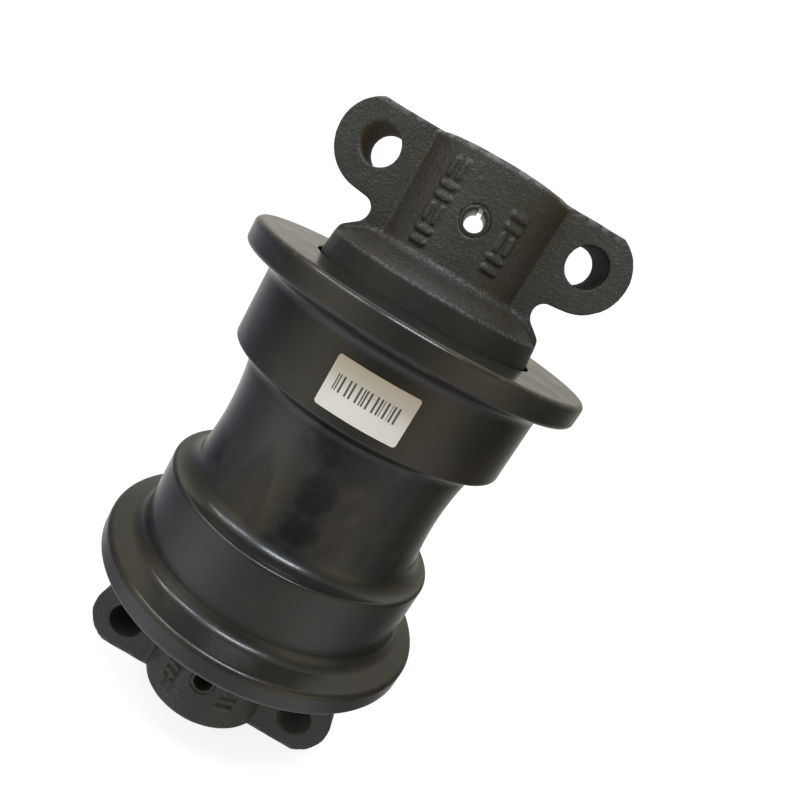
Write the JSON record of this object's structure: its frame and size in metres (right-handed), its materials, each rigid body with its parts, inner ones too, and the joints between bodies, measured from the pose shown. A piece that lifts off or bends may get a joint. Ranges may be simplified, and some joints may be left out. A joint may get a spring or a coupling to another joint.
{
  "type": "track roller",
  "caption": "Sealed crawler undercarriage roller with outer guide flanges, turning on bronze bushes between cast collars whose eared ends bolt to a track frame.",
  "frame": {"origin": "centre of the roller: on its axis, in its middle plane", "axes": "+Z along the roller's axis, which stands upright on one end; +Y out of the ears' mounting faces, towards the track frame in use; +X completes the set"},
  "size_m": [0.15, 0.15, 0.2682],
  "materials": {
    "shell_paint": "satin dark grey paint over forged and turned steel",
    "collar_paint": "sand-cast iron under thin dark grey paint",
    "ground_steel": "ground, lightly oiled",
    "spring_steel": "dark spring steel",
    "bush_bronze": "machined bronze",
    "seal_iron": "lapped alloy iron",
    "seal_rubber": "matte black",
    "plug_steel": "zinc plated",
    "label_paper": "plain self-adhesive label with a few printed lines"
  },
  "bodies": {
    "axle": {"shaft": "ground_steel", "collar_upper": "collar_paint", "collar_lower": "collar_paint", "lock_pin_upper": "spring_steel", "lock_pin_lower": "spring_steel", "fixed_seal_upper": "seal_iron", "fixed_seal_lower": "seal_iron", "fixed_toric_upper": "seal_rubber", "fixed_toric_lower": "seal_rubber", "shaft_oring_upper": "seal_rubber", "shaft_oring_lower": "seal_rubber", "oil_plug": "plug_steel", "plug_washer": "bush_bronze"},
    "roller": {"roller_shell": "shell_paint", "bush_upper": "bush_bronze", "bush_lower": "bush_bronze", "turning_seal_upper": "seal_iron", "turning_seal_lower": "seal_iron", "turning_toric_upper": "seal_rubber", "turning_toric_lower": "seal_rubber", "label": "label_paper"}
  },
  "joints": [
    {"name": "roller_spin", "type": "hinge", "parent": "axle", "child": "roller", "pos_m": [0, 0, 0], "axis": [0, 0, 1], "continuous": true}
  ]
}
